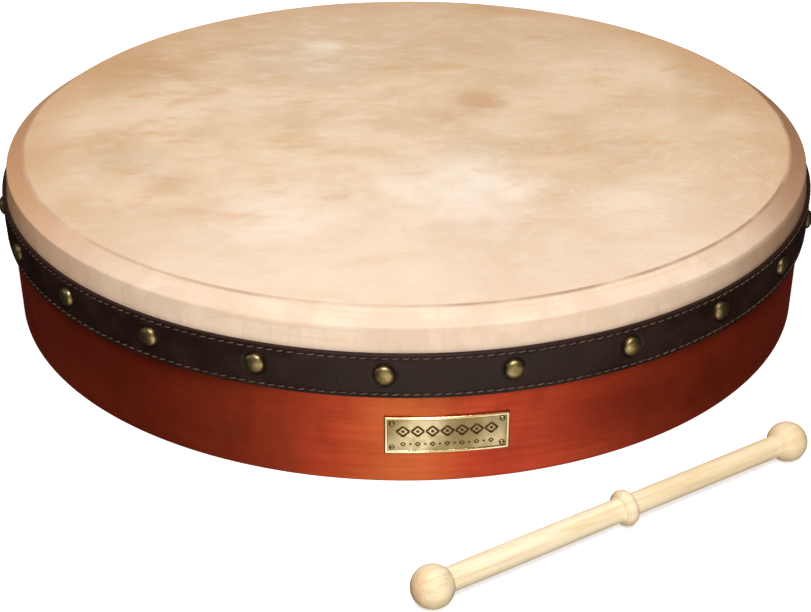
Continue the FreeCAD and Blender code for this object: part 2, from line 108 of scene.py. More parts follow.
PLATE_ARC = math.radians(15.0)
PLATE_THICKNESS = 1.4 * MM
PLATE_SINK = 0.4 * MM
PLATE_FIELD = PLATE_THICKNESS - PLATE_SINK
PLATE_COLUMNS, PLATE_ROWS = 260, 92
PIN_ARC = math.radians(13.2)
PIN_INSET = 3.4 * MM
PIN_RISE = 1.0 * MM

BALL_RADIUS = 9.9 * MM
BALL_PLACE = 103.3 * MM
TIPPER_HEADING = math.radians(27.1)
TIPPER_MIDDLE = Vector((76.1 * MM, -271.8 * MM, BALL_RADIUS))
LEFT_SHAFT = 5.65 * MM
RIGHT_SHAFT = 5.30 * MM
COLLAR_LEFT = -1.4 * MM
COLLAR_RIGHT = 4.9 * MM


# Mesh helpers ----------


def new_object(name, verts, faces, smooth=True):
    """Make an object from points and faces, its normals facing out."""
    mesh = bpy.data.meshes.new(name)
    mesh.from_pydata([tuple(v) for v in verts], [], [tuple(f) for f in faces])
    shape = bmesh.new()
    shape.from_mesh(mesh)
    bmesh.ops.recalc_face_normals(shape, faces=shape.faces)
    shape.to_mesh(mesh)
    shape.free()
    mesh.polygons.foreach_set("use_smooth", [smooth] * len(mesh.polygons))
    piece = bpy.data.objects.new(name, mesh)
    bpy.context.scene.collection.objects.link(piece)
    return piece


def grid_faces(rows, columns, wrap_rows, wrap_columns):
    """Quads over a grid of points numbered row by row."""
    faces = []
    for row in range(rows if wrap_rows else rows - 1):
        below = ((row + 1) % rows) * columns
        here = row * columns
        for column in range(columns if wrap_columns else columns - 1):
            following = (column + 1) % columns
            faces.append((here + column, below + column, below + following, here + following))
    return faces


def end_caps(rows, columns):
    """One face over each end of a grid that doesn't wrap its rows."""
    last = (rows - 1) * columns
    return [tuple(range(columns)), tuple(reversed(range(last, last + columns)))]


def sweep(section, azimuths, shape=None):
    """Points of a section of (radius, height) points at each azimuth round the drum's axis.

    shape, if given, takes azimuths, radii and heights as arrays and returns new radii and heights.
    """
    radii = np.tile([point[0] for point in section], (len(azimuths), 1))
    heights = np.tile([point[1] for point in section], (len(azimuths), 1))
    if shape:
        radii, heights = shape(azimuths[:, None], radii, heights)
    turn = azimuths[:, None]
    points = np.stack([radii * np.cos(turn), radii * np.sin(turn), heights], axis=-1)
    return points.reshape(-1, 3)


def turned_ring(name, section, steps, shape=None):
    """Sweep a closed section all the way round the drum's axis."""
    azimuths = np.linspace(0, FULL_TURN, steps, endpoint=False)
    faces = grid_faces(steps, len(section), True, True)
    return new_object(name, sweep(section, azimuths, shape), faces)


def arc_points(centre, radius, start, end, count):
    """Points on an arc in the section's plane; angles in degrees."""
    angles = np.radians(np.linspace(start, end, count))
    return [(centre[0] + radius * math.cos(a), centre[1] + radius * math.sin(a)) for a in angles]


def spread(start, end, count):
    """Points from start up to, but not at, end."""
    shares = np.linspace(0, 1, count, endpoint=False)
    return [(start[0] + (end[0] - start[0]) * k, start[1] + (end[1] - start[1]) * k) for k in shares]


def arc_gap(azimuths, middle):
    """The signed turn from middle to each azimuth, between minus and plus half a turn."""
    return (azimuths - middle + math.pi) % FULL_TURN - math.pi


def smooth_wave(azimuths, cycles_low, cycles_high, count):
    """A seamless random wave round the drum, about -1 to 1."""
    total = np.zeros_like(azimuths)
    for _ in range(count):
        cycles = noise_dice.integers(cycles_low, cycles_high)
        phase = noise_dice.uniform(0, FULL_TURN)
        total = total + np.sin(azimuths * cycles + phase) * noise_dice.uniform(0.4, 1.0)
    return total / (0.5 * count)


def lathe_verts(profile, segments):
    """Turn (along, radius) points about the x axis; returns points and faces, poles closed."""
    pole = 0.0001 * MM
    verts, rings = [], []
    for along, radius in profile:
        if radius < pole:
            rings.append([len(verts)])
            verts.append((along, 0, 0))
            continue
        ring = []
        for step in range(segments):
            angle = FULL_TURN * step / segments
            ring.append(len(verts))
            verts.append((along, radius * math.cos(angle), radius * math.sin(angle)))
        rings.append(ring)
    faces = []
    for one, two in zip(rings, rings[1:]):
        for step in range(segments):
            following = (step + 1) % segments
            if len(one) == 1:
                faces.append((one[0], two[following], two[step]))
            elif len(two) == 1:
                faces.append((one[step], one[following], two[0]))
            else:
                faces.append((one[step], one[following], two[following], two[step]))
    return verts, faces


class Gather:
    """Collects many small shapes into one mesh."""

    def __init__(self):
        self.verts, self.faces = [], []

    def add(self, verts, faces, place):
        first = len(self.verts)
        self.verts.extend(place @ Vector(v) for v in verts)
        self.faces.extend(tuple(first + index for index in face) for face in faces)

    def make(self, name):
        return new_object(name, self.verts, self.faces)


def on_side(azimuth, radius, height):
    """A place on the drum's side: x out of the drum, y along the side, z up."""
    turn = Matrix.Rotation(azimuth, 4, "Z")
    return turn @ Matrix.Translation((radius, 0, height))


def place_piece(piece, body, slot_name, material, *nodes):
    """Give a piece its finish, hide the CAD nodes that it replaces, and attach it to its body; slot_name
    is not used.
    """
    piece.data.materials.append(material)
    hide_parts(*nodes)
    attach(piece, body)


# Materials ----------


def linear(red, green, blue):
    """An sRGB colour, 0 to 255, as a linear one for a shader."""
    channels = []
    for channel in (red, green, blue):
        share = channel / 255
        channels.append(share / 12.92 if share <= 0.04045 else ((share + 0.055) / 1.055) ** 2.4)
    return (*channels, 1.0)


class Finish:
    """A material whose nodes are made in code, by short calls."""

    def __init__(self, name, roughness=0.5):
        self.material = bpy.data.materials.new(name)
        self.material.use_nodes = True
        self.nodes = self.material.node_tree.nodes
        self.links = self.material.node_tree.links
        self.shader = self.nodes["Principled BSDF"]
        self.shader.inputs["Roughness"].default_value = roughness
        self.where = self.nodes.new("ShaderNodeTexCoord").outputs["Object"]

    def put(self, target, value):
        """Link a socket or set a plain value."""
        if isinstance(value, bpy.types.NodeSocket):
            self.links.new(value, target)
        else:
            target.default_value = value

    def scaled(self, x, y, z, turn=0.0):
        """The place, turned about the vertical and then stretched by x, y and z."""
        node = self.nodes.new("ShaderNodeMapping")
        node.vector_type = "TEXTURE"
        node.inputs["Rotation"].default_value = (0, 0, turn)
        self.links.new(self.where, node.inputs["Vector"])
        stretch = self.nodes.new("ShaderNodeVectorMath")
        stretch.operation = "MULTIPLY"
        stretch.inputs[1].default_value = (x, y, z)
        self.links.new(node.outputs["Vector"], stretch.inputs[0])
        return stretch.outputs["Vector"]

    def noise(self, vector, scale=1.0, detail=3.0, rough=0.5, warp=0.0):
        """Soft random clouds, 0 to 1 about 0.5."""
        node = self.nodes.new("ShaderNodeTexNoise")
        self.links.new(vector, node.inputs["Vector"])
        node.inputs["Scale"].default_value = scale
        node.inputs["Detail"].default_value = detail
        node.inputs["Roughness"].default_value = rough
        node.inputs["Distortion"].default_value = warp
        return node.outputs["Fac"]

    def cells(self, vector, scale):
        """Distance to the nearest of random points."""
        node = self.nodes.new("ShaderNodeTexVoronoi")
        self.links.new(vector, node.inputs["Vector"])
        node.inputs["Scale"].default_value = scale
        return node.outputs["Distance"]

    def math(self, operation, one, two=0.0):
        """One sum on one or two values."""
        node = self.nodes.new("ShaderNodeMath")
        node.operation = operation
        self.put(node.inputs[0], one)
        self.put(node.inputs[1], two)
        return node.outputs[0]

    def times(self, one, two):
        return self.math("MULTIPLY", one, two)

    def ramp(self, value, low, high, bottom=0.0, top=1.0):
        """A smooth step from bottom to top as value goes from low to high."""
        node = self.nodes.new("ShaderNodeMapRange")
        node.interpolation_type = "SMOOTHSTEP"
        self.put(node.inputs["Value"], value)
        for socket, number in zip(node.inputs[1:5], (low, high, bottom, top)):
            socket.default_value = number
        return node.outputs["Result"]

    def mix(self, share, one, two):
        """Blend colour one towards colour two."""
        node = self.nodes.new("ShaderNodeMix")
        node.data_type = "RGBA"
        self.put(node.inputs[0], share)
        self.put(node.inputs[6], one)
        self.put(node.inputs[7], two)
        return node.outputs[2]

    def split(self):
        """The place's x, y and z."""
        node = self.nodes.new("ShaderNodeSeparateXYZ")
        self.links.new(self.where, node.inputs[0])
        return node.outputs

    def axis_distance(self):
        """How far the place is from the drum's axis."""
        x, y, _ = self.split()
        flat = self.math("ADD", self.times(x, x), self.times(y, y))
        return self.math("SQRT", flat)

    def near_point(self, x, y, wobble, reach):
        """How far the place is from an upright line at x, y, its outline wobbled by a noise."""
        here_x, here_y, _ = self.split()
        across = self.math("SUBTRACT", here_x, x)
        along = self.math("SUBTRACT", here_y, y)
        flat = self.math("ADD", self.times(across, across), self.times(along, along))
        push = self.times(self.math("SUBTRACT", wobble, 0.5), reach)
        return self.math("ADD", self.math("SQRT", flat), push)

    def bump(self, layers):
        """Stack bumps: each layer is a height between 0 and 1 and its depth in metres."""
        normal = None
        for height, depth in layers:
            node = self.nodes.new("ShaderNodeBump")
            node.inputs["Strength"].default_value = 1.0
            node.inputs["Distance"].default_value = depth
            self.links.new(height, node.inputs["Height"])
            if normal is not None:
                self.links.new(normal, node.inputs["Normal"])
            normal = node.outputs["Normal"]
        self.links.new(normal, self.shader.inputs["Normal"])

    def colour(self, value):
        self.put(self.shader.inputs["Base Color"], value)

    def rough(self, value):
        self.put(self.shader.inputs["Roughness"], value)

    def set(self, **sockets):
        """Set plain numbers on the shader, named with _ for a space."""
        for name, value in sockets.items():
            self.shader.inputs[name.replace("_", " ")].default_value = value


# Patches on the skin: x and y in metres, how far each reaches, how strong it is.
TAN_PATCHES = [
    (0.047, 0.026, 0.021, 0.85),
    (0.026, 0.006, 0.018, 0.45),
    (-0.010, -0.002, 0.020, 0.30),
    (-0.173, 0.095, 0.048, 0.85),
    (-0.093, 0.088, 0.050, 0.36),
    (-0.088, 0.148, 0.040, 0.45),
    (-0.145, 0.105, 0.036, 0.60),
    (-0.133, -0.074, 0.019, 0.60),
    (-0.119, -0.004, 0.016, 0.40),
    (-0.168, -0.010, 0.024, 0.40),
    (0.094, -0.012, 0.022, 0.35),
    (0.196, 0.018, 0.026, 0.35),
    (0.150, 0.120, 0.050, 0.35),
    (-0.060, -0.005, 0.014, 0.30),
]
GREY_PATCHES = [
    (-0.058, 0.104, 0.050, 0.60),
    (-0.154, -0.046, 0.030, 0.55),
    (0.040, -0.045, 0.032, 0.40),
    (0.118, -0.052, 0.030, 0.30),
]
PALE_PATCHES = [
    (0.020, -0.100, 0.050, 0.80),
    (-0.042, 0.130, 0.016, 0.45),
    (-0.070, -0.120, 0.050, 0.45),
    (0.110, -0.120, 0.036, 0.35),
]


def cloud_hide(hide):
    """The skin's broad colours: cream clouded with tan, and patches, spots and mottling on it."""
    cream = linear(236, 207, 174)
    tan = linear(217, 182, 144)
    pale = linear(252, 236, 219)
    cloud = hide.noise(hide.where, 9.0, 5.0, 0.58, 0.6)
    colour = hide.mix(hide.ramp(cloud, 0.34, 0.68), cream, tan)
    wobble = hide.noise(hide.where, 34.0, 4.0, 0.6, 0.4)
    brown, grey = linear(204, 162, 118), linear(214, 190, 160)
    for patches, tint in ((GREY_PATCHES, grey), (PALE_PATCHES, pale), (TAN_PATCHES, brown)):
        for x, y, reach, strength in patches:
            near = hide.near_point(x, y, wobble, reach * 1.5)
            share = hide.ramp(near, reach * 0.1, reach * 1.25, strength, 0.0)
            colour = hide.mix(share, colour, tint)
    spot = hide.noise(hide.scaled(1, 1.9, 1, 0.1), 27.0, 4.0, 0.55, 0.3)
    colour = hide.mix(hide.ramp(spot, 0.56, 0.72, 0.0, 0.50), colour, linear(214, 166, 114))
    mottle = hide.noise(hide.scaled(1, 1.7, 1), 52.0, 5.0, 0.62, 0.3)
    hide.rough(hide.ramp(mottle, 0.3, 0.7, 0.44, 0.60))
    colour = hide.mix(hide.ramp(mottle, 0.48, 0.72, 0.0, 0.38), colour, tan)
    colour = hide.mix(hide.ramp(mottle, 0.50, 0.28, 0.0, 0.22), colour, pale)
    return vein_hide(hide, colour, pale)


def vein_hide(hide, colour, pale):
    """Faint pale veins, stronger towards the front right, and painted light that makes the front paler.
    """
    ridge = hide.noise(hide.scaled(1, 1.6, 1, 0.5), 20.0, 4.0, 0.55, 0.8)
    offset = hide.math("ABSOLUTE", hide.math("SUBTRACT", ridge, 0.5))
    vein = hide.ramp(offset, 0.0, 0.022, 1.0, 0.0)
    x, y, _ = hide.split()
    veined = hide.times(hide.ramp(x, -0.06, 0.08), hide.ramp(y, 0.05, -0.06))
    strength = hide.math("ADD", hide.times(veined, 0.12), 0.025)
    colour = hide.mix(hide.times(vein, strength), colour, pale)
    # Painted light: the head is paler towards the front, where the light falls brightest.
    return hide.mix(hide.ramp(y, -0.05, -0.20, 0.0, 0.45), colour, linear(249, 226, 206))


def tan_and_shade_hide_edge(hide, colour, radius):
    """The head's edge, the bevel and the side: lined round, with painted shade darker towards the head's
    back, away from the front and at the right.
    """
    x, y, z = hide.split()
    # Painted shade: the head's edge is painted a darker tan towards the back, where less light falls.
    edge = hide.ramp(radius, CREASE_RADIUS - 34 * MM, CREASE_RADIUS)
    edge = hide.times(edge, hide.ramp(y, -0.19, 0.02, 0.05, 0.55))
    colour = hide.mix(edge, colour, linear(206, 158, 114))
    slope = hide.ramp(radius, CREASE_RADIUS, CREASE_RADIUS + 1.5 * MM)
    colour = hide.mix(hide.times(slope, 0.6), colour, linear(236, 211, 188))
    blotch = hide.noise(hide.where, 44.0, 4.0, 0.6, 0.5)
    blotches = hide.times(slope, hide.ramp(blotch, 0.40, 0.64, 0.0, 0.60))
    colour = hide.mix(blotches, colour, linear(220, 192, 166))
    band = hide.noise(hide.scaled(13, 13, 800), 1.0, 3.0, 0.6, 0.2)
    bands = hide.times(slope, hide.ramp(band, 0.50, 0.70, 0.0, 0.38))
    colour = hide.mix(bands, colour, linear(224, 184, 138))
    # Painted shade: the bevel and the side darken away from the front, where the light falls weaker, less
    # so at the back.
    painted_shade_off_front = hide.times(slope, hide.ramp(y, -0.20, -0.05, 0.0, 0.85))
    painted_shade_off_front = hide.times(painted_shade_off_front, hide.ramp(y, 0.02, 0.16, 1.0, 0.5))
    colour = hide.mix(painted_shade_off_front, colour, linear(206, 150, 106))
    below = hide.ramp(z, SHOULDER_HEIGHT, SHOULDER_HEIGHT - 4 * MM)
    # Painted shade: the side and the bevel are darker towards the right.
    side_shade = hide.times(below, hide.ramp(x, 0.08, 0.20, 0.0, 0.75))
    bevel_shade = hide.times(slope, hide.ramp(x, 0.14, 0.21, 0.0, 0.60))
    colour = hide.mix(hide.math("MAXIMUM", side_shade, bevel_shade), colour, linear(152, 112, 84))
    streak = hide.noise(hide.scaled(330, 330, 26), 1.0, 3.0, 0.6)
    streaks = hide.times(hide.ramp(streak, 0.45, 0.8, 0.0, 0.22), below)
    return hide.mix(streaks, colour, linear(205, 170, 140)), streak


def line_hide_crease(hide, colour, radius):
    """A broken brown line in the crease, fainter towards the left."""
    offset = hide.math("ABSOLUTE", hide.math("SUBTRACT", radius, CREASE_RADIUS))
    line = hide.ramp(offset, 0.1 * MM, 1.6 * MM, 1.0, 0.0)
    broken = hide.noise(hide.where, 26.0, 3.0)
    line = hide.times(line, hide.ramp(broken, 0.30, 0.62, 0.25, 0.75))
    line = hide.times(line, hide.ramp(hide.split()[0], -0.17, -0.04, 0.45, 1.0))
    return hide.mix(line, colour, linear(146, 100, 64))


def make_hide():
    """Goat skin: cream, clouded with tan, faint pale veins, a dark line at the crease."""
    hide = Finish("hide_cream")
    radius = hide.axis_distance()
    colour, streak = tan_and_shade_hide_edge(hide, cloud_hide(hide), radius)
    hide.colour(line_hide_crease(hide, colour, radius))
    grain = hide.noise(hide.where, 620.0, 4.0, 0.65)
    wave = hide.noise(hide.where, 90.0, 3.0, 0.5, 0.5)
    hide.bump([(grain, 0.12 * MM), (wave, 0.30 * MM), (streak, 0.20 * MM)])
    hide.set(Specular_IOR_Level=0.35)
    return hide.material


def make_leather():
    """Very dark brown smooth leather, satin, redder and worn at its cut edges."""
    leather = Finish("strip_leather_dark")
    cloud = leather.noise(leather.where, 55.0, 4.0, 0.6)
    colour = leather.mix(leather.ramp(cloud, 0.35, 0.68), linear(32, 18, 13), linear(45, 27, 21))
    scuff = leather.noise(leather.scaled(60, 60, 420), 1.0, 3.0, 0.7, 0.4)
    colour = leather.mix(leather.ramp(scuff, 0.62, 0.82, 0.0, 0.35), colour, linear(74, 55, 46))
    z = leather.split()[2]
    top_edge = leather.ramp(z, STRIP_TOP - 0.9 * MM, STRIP_TOP - 0.2 * MM)
    foot_edge = leather.ramp(z, STRIP_FOOT + 0.9 * MM, STRIP_FOOT + 0.2 * MM)
    edge = leather.math("MAXIMUM", top_edge, foot_edge)
    colour = leather.mix(leather.times(edge, 0.7), colour, linear(46, 24, 17))
    leather.colour(colour)
    pores = leather.cells(leather.where, 900.0)
    wrinkle = leather.noise(leather.scaled(140, 140, 260), 1.0, 4.0, 0.6, 0.6)
    leather.rough(leather.ramp(cloud, 0.3, 0.7, 0.40, 0.54))
    leather.bump([(pores, 0.08 * MM), (wrinkle, 0.18 * MM)])
    leather.set(Specular_IOR_Level=0.18)
    return leather.material


def make_thread():
    """Waxed thread, dull brown-grey, twisted."""
    thread = Finish("waxed_thread", roughness=0.62)
    twist = thread.noise(thread.where, 1500.0, 2.0, 0.6)
    tone = thread.noise(thread.where, 45.0, 3.0, 0.6)
    colour = thread.mix(thread.ramp(tone, 0.35, 0.7), linear(104, 82, 68), linear(78, 60, 49))
    colour = thread.mix(thread.ramp(twist, 0.5, 0.7, 0.0, 0.6), colour, linear(70, 52, 46))
    thread.colour(colour)
    thread.bump([(twist, 0.3 * MM)])
    return thread.material


def make_rim_wood():
    """Bent beech, stained red-brown under satin lacquer, its fine grain running round the drum."""
    wood = Finish("rim_stained_beech")
    streak = wood.noise(wood.scaled(20, 20, 420), 1.0, 4.0, 0.6, 0.15)
    cloud = wood.noise(wood.scaled(9, 9, 24), 1.0, 4.0, 0.6, 0.3)
    fleck = wood.noise(wood.scaled(90, 90, 1300), 1.0, 2.0, 0.5)
    colour = wood.mix(wood.ramp(cloud, 0.30, 0.72), linear(188, 70, 39), linear(162, 54, 31))
    colour = wood.mix(wood.ramp(streak, 0.40, 0.75, 0.0, 0.25), colour, linear(128, 36, 21))
    colour = wood.mix(wood.ramp(fleck, 0.60, 0.74, 0.0, 0.28), colour, linear(108, 32, 19))
    # Painted highlight: a paler, more orange length of the board just left of the nameplate, where the
    # lacquer shines.
    pale = wood.near_point(-0.018, -0.228, cloud, 0.03)
    colour = wood.mix(wood.ramp(pale, 0.004, 0.036, 0.55, 0.0), colour, linear(188, 104, 50))
    figure = wood.noise(wood.scaled(70, 70, 22), 1.0, 3.0, 0.55, 0.5)
    colour = wood.mix(wood.ramp(figure, 0.48, 0.70, 0.0, 0.24), colour, linear(120, 40, 22))
    radius = wood.axis_distance()
    inside = wood.ramp(radius, RIM_RADIUS - 3.5 * MM, RIM_RADIUS - 4.5 * MM)
    bare = wood.mix(wood.ramp(streak, 0.35, 0.75), linear(206, 160, 112), linear(170, 118, 76))
    bare = wood.mix(wood.ramp(fleck, 0.60, 0.74, 0.0, 0.6), bare, linear(128, 82, 50))
    colour = wood.mix(inside, colour, bare)
    wood.colour(colour)
    # Stained fibres shine in the stain's own colour, so the outside is part metal to the shader.
    wood.put(wood.shader.inputs["Metallic"], wood.ramp(inside, 0.0, 1.0, 0.80, 0.0))
    wood.rough(wood.ramp(streak, 0.3, 0.7, 0.42, 0.50))
    wood.bump([(streak, 0.06 * MM), (fleck, 0.04 * MM)])
    wood.set(Specular_IOR_Level=0.3)
    return wood.material


def make_plain_wood(name, light, dark, along, across, turn=0.0, round_grain=False):
    """Bare timber with its grain along x, turned about the vertical, or running round the drum."""
    wood = Finish(name)
    if round_grain:
        vector = wood.scaled(along, along, across)
        pores = wood.scaled(along * 4, along * 4, across * 2.6)
    else:
        vector = wood.scaled(along, across, across, turn)
        pores = wood.scaled(along * 4, across * 2.6, across * 2.6, turn)
    streak = wood.noise(vector, 1.0, 4.0, 0.6, 0.25)
    fleck = wood.noise(pores, 1.0, 2.0, 0.5)
    colour = wood.mix(wood.ramp(streak, 0.34, 0.72), light, dark)
    colour = wood.mix(wood.ramp(fleck, 0.60, 0.76, 0.0, 0.5), colour, dark)
    wood.colour(colour)
    wood.rough(wood.ramp(streak, 0.3, 0.7, 0.50, 0.64))
    wood.bump([(streak, 0.12 * MM), (fleck, 0.10 * MM)])
    return wood


def make_aged_brass(name, seat, rise):
    """Antique brass, dark and olive near the seat, where the polish never reaches."""
    brass = Finish(name)
    tone = brass.noise(brass.where, 260.0, 4.0, 0.6)
    colour = brass.mix(brass.ramp(tone, 0.35, 0.7), linear(166, 146, 102), linear(122, 102, 66))
    radius = brass.axis_distance()
    brim = brass.ramp(radius, seat + rise * 0.62, seat + rise * 0.05)
    colour = brass.mix(brass.times(brim, 0.75), colour, linear(58, 44, 28))
    brass.colour(colour)
    brass.rough(brass.ramp(tone, 0.3, 0.7, 0.36, 0.48))
    dents = brass.noise(brass.where, 700.0, 2.0, 0.5)
    brass.bump([(dents, 0.12 * MM)])
    brass.set(Metallic=1.0)
    return brass.material


def make_plate_brass(name, rough_low, rough_high, grain_depth, light, dark):
    """Pale brass: polished, or matt with a fine stipple and uneven tarnish."""
    brass = Finish(name)
    tone = brass.noise(brass.where, 120.0, 3.0, 0.6)
    tarnish = brass.noise(brass.scaled(1, 1, 0.6), 48.0, 2.0, 0.4)
    colour = brass.mix(brass.ramp(tarnish, 0.36, 0.60), light, dark)
    colour = brass.mix(brass.ramp(tone, 0.45, 0.7, 0.0, 0.4), colour, dark)
    brass.colour(colour)
    stipple = brass.noise(brass.where, 2600.0, 2.0, 0.6)
    brass.rough(brass.ramp(tone, 0.3, 0.7, rough_low, rough_high))
    brass.bump([(stipple, grain_depth)])
    brass.set(Metallic=1.0)
    return brass.material


def make_dark_inlay():
    """The blackened ground of the engraving."""
    inlay = Finish("engraving_dark", roughness=0.42)
    tone = inlay.noise(inlay.where, 900.0, 3.0, 0.6)
    inlay.colour(inlay.mix(inlay.ramp(tone, 0.3, 0.7), linear(62, 40, 20), linear(104, 72, 40)))
    inlay.bump([(tone, 0.04 * MM)])
    inlay.set(Metallic=0.6)
    return inlay.material


def make_steel():
    """Zinc-plated screw steel with fine turning marks."""
    steel = Finish("screw_zinc")
    tone = steel.noise(steel.where, 900.0, 3.0, 0.6)
    share = steel.ramp(tone, 0.3, 0.7)
    steel.colour(steel.mix(share, linear(186, 186, 182), linear(140, 140, 138)))
    steel.rough(steel.ramp(tone, 0.3, 0.7, 0.28, 0.44))
    steel.bump([(tone, 0.05 * MM)])
    steel.set(Metallic=1.0)
    return steel.material


# Drum pieces ----------


def lean_in(radii, heights):
    """How far the side and the bevel stand in from straight, at the radii and heights."""
    start = STRIP_TOP - 2 * MM
    rise = np.clip((heights - start) / (SHOULDER_HEIGHT - start), 0, 1)
    out = np.clip((radii - CREASE_RADIUS) / BEVEL_ACROSS, 0, 1)
    return SIDE_LEAN * rise * out


def skin_section():
    """The skin's section, from the head's middle out and down to the hem, then back on the inside."""
    top, under = HEAD_HEIGHT, HEAD_HEIGHT - SKIN_THICKNESS
    outside = [(r, top) for r in np.linspace(0, CREASE_RADIUS - 4 * MM, 14)]
    outside += spread((CREASE_RADIUS - 2 * MM, top), (CREASE_RADIUS - 0.4 * MM, top), 3)
    outside += [(CREASE_RADIUS, top - 0.08 * MM)]
    bevel_head = (CREASE_RADIUS + 0.5 * MM, top - 0.28 * MM)
    bevel_foot = (SHOULDER_RADIUS - 1.2 * MM, SHOULDER_HEIGHT + 0.5 * MM)
    outside += spread(bevel_head, bevel_foot, 7)
    bend = 1.1 * MM
    outside += arc_points((SHOULDER_RADIUS - bend, SHOULDER_HEIGHT - 0.6 * MM), bend, 64, 0, 6)
    side_head, hem = (SHOULDER_RADIUS, SHOULDER_HEIGHT - 1.2 * MM), (SHOULDER_RADIUS, SKIN_HEM)
    outside += [*spread(side_head, hem, 26), hem]
    within = SHOULDER_RADIUS - SKIN_THICKNESS
    fold = (within, SHOULDER_HEIGHT - 0.6 * MM)
    bearing = (CREASE_RADIUS - 0.6 * MM, under)
    inside = [(within, SKIN_HEM), *spread((within, SKIN_HEM + 4 * MM), fold, 8)]
    inside += spread(fold, bearing, 5)
    inside += [(r, under) for r in np.linspace(bearing[0], 0, 8)]
    return outside + inside


def shape_skin(turn, radii, heights):
    """Lean the side in, gather it finely, and let the crease and the shoulder wander a little."""
    radii = radii - lean_in(radii, heights)
    # The gathers fade out towards the shoulder and under the strip.
    ripple = 0.6 * smooth_wave(turn, 40, 90, 8) + 0.4 * smooth_wave(turn, 90, 170, 8)
    below = np.clip((SHOULDER_HEIGHT - heights) / (8 * MM), 0, 1)
    above = np.clip((heights - STRIP_TOP + 4 * MM) / (4 * MM), 0, 1)
    radii = radii + (0.22 * ripple - 0.10) * MM * below * above
    wander = smooth_wave(turn, 3, 14, 5)
    rolled = np.clip((radii - CREASE_RADIUS + 3 * MM) / (3 * MM), 0, 1)
    rolled = rolled * (heights > SHOULDER_HEIGHT - 3 * MM)
    return radii, heights + 0.10 * MM * (wander - 1) * rolled


def make_skin():
    """The skin: flat, crease, bevel, crisp shoulder and gently rippled side, closed to a thin cap."""
    section = skin_section()
    crown_point, floor_point = section[0], section[-1]
    section = section[1:-1]
    steps, columns = 1200, len(section)
    azimuths = np.linspace(0, FULL_TURN, steps, endpoint=False)
    poles = [(0, 0, crown_point[1]), (0, 0, floor_point[1])]
    verts = np.vstack([sweep(section, azimuths, shape_skin), poles])
    faces = grid_faces(steps, columns, True, False)
    crown, floor = steps * columns, steps * columns + 1
    for step in range(steps):
        following = (step + 1) % steps
        faces.append((crown, step * columns, following * columns))
        faces.append((floor, (following + 1) * columns - 1, (step + 1) * columns - 1))
    skin = new_object("skin_stretched", verts, faces)
    place_piece(skin, "drum", "hide", make_hide(), "skin_head")
    side = SHOULDER_HEIGHT - SKIN_HEM
    bevel = math.hypot(BEVEL_ACROSS, BEVEL_DROP)
    area = math.pi * CREASE_RADIUS ** 2
    area += math.pi * (CREASE_RADIUS + SHOULDER_RADIUS) * bevel
    area += FULL_TURN * SHOULDER_RADIUS * side


def near_tacks(azimuths, heights, radius):
    """Distance on the drum's side from each point to the nearest tack."""
    nearest = np.full(np.broadcast(azimuths, heights).shape, 1.0)
    for tack in TACK_AZIMUTHS:
        along = arc_gap(azimuths, tack) * radius
        nearest = np.minimum(nearest, np.hypot(along, heights - TACK_HEIGHT))
    return nearest


def strip_section():
    """The strip's section: down the face against the skin, then up the outside."""
    inner, outer = SHOULDER_RADIUS, STRIP_RADIUS
    foot, top = STRIP_FOOT, STRIP_TOP
    edge = STRIP_EDGE
    straight = edge + 0.2 * MM
    section = spread((inner, top), (inner, foot), 10)
    section += [(inner, foot), (inner + edge, foot)]
    section += arc_points((outer - edge, foot + edge), edge, -90, 0, 5)
    section += spread((outer, foot + straight), (outer, top - straight), 44)
    section += arc_points((outer - edge, top - edge), edge, 0, 90, 5)
    section += [(inner + edge, top)]
    return section


def press_leather(turn, radii, heights):
    """Press the strip's face: a channel at each row of stitches, a swell between, a dip at each tack."""
    surface = np.clip((radii - SHOULDER_RADIUS - 0.4 * MM) / MM, 0, 1)
    for row in (STRIP_FOOT + STITCH_INSET, STRIP_TOP - STITCH_INSET):
        channel = np.exp(-((heights - row) / (0.8 * MM)) ** 2)
        radii = radii - 0.42 * MM * channel * surface
    share = (heights - STRIP_FOOT - 3 * MM) / (STRIP_TOP - STRIP_FOOT - 6 * MM)
    radii = radii + 0.22 * MM * np.sin(np.clip(share, 0, 1) * math.pi) * surface
    # Round each tack the leather is pulled in, with a lip.
    gap = near_tacks(turn, heights, STRIP_RADIUS)
    pressed = np.clip(1 - (gap / (TACK_RADIUS + 1.4 * MM)) ** 4, 0, 1)
    lip = np.exp(-((gap - TACK_RADIUS - 1.6 * MM) / (0.7 * MM)) ** 2)
    radii = radii - (0.55 * pressed - 0.16 * lip) * MM * surface
    radii = radii + 0.07 * MM * smooth_wave(turn, 12, 40, 6) * surface
    heights = heights + 0.12 * MM * smooth_wave(turn, 6, 30, 6)
    return radii, heights


def make_strip():
    """The leather strip: rounded cut edges, pressed by its stitches and tacks, butted at the back."""
    section = strip_section()
    steps, columns = 1800, len(section)
    seam = STRIP_SEAM / STRIP_RADIUS
    azimuths = np.linspace(BACK + seam / 2, BACK + FULL_TURN - seam / 2, steps)
    faces = grid_faces(steps, columns, False, True) + end_caps(steps, columns)
    strip = new_object("leather_strip", sweep(section, azimuths, press_leather), faces)
    place_piece(strip, "drum", "strip_leather", make_leather(), "trim_strip")


def stitch_shape():
    """One stitch along y: a short bowed thread whose ends dive into the leather."""
    verts = []
    rings, sides = 9, 8
    for step in range(rings):
        share = 2 * step / (rings - 1) - 1
        along = share * STITCH_LENGTH / 2
        bow = (0.52 * (1 - share ** 4) - 0.22) * MM
        thick = THREAD_RADIUS * (1 - 0.35 * share ** 6)
        for side in range(sides):
            angle = FULL_TURN * side / sides
            verts.append((bow + thick * 0.8 * math.cos(angle), along, thick * math.sin(angle)))
    return verts, grid_faces(rings, sides, False, True) + end_caps(rings, sides)


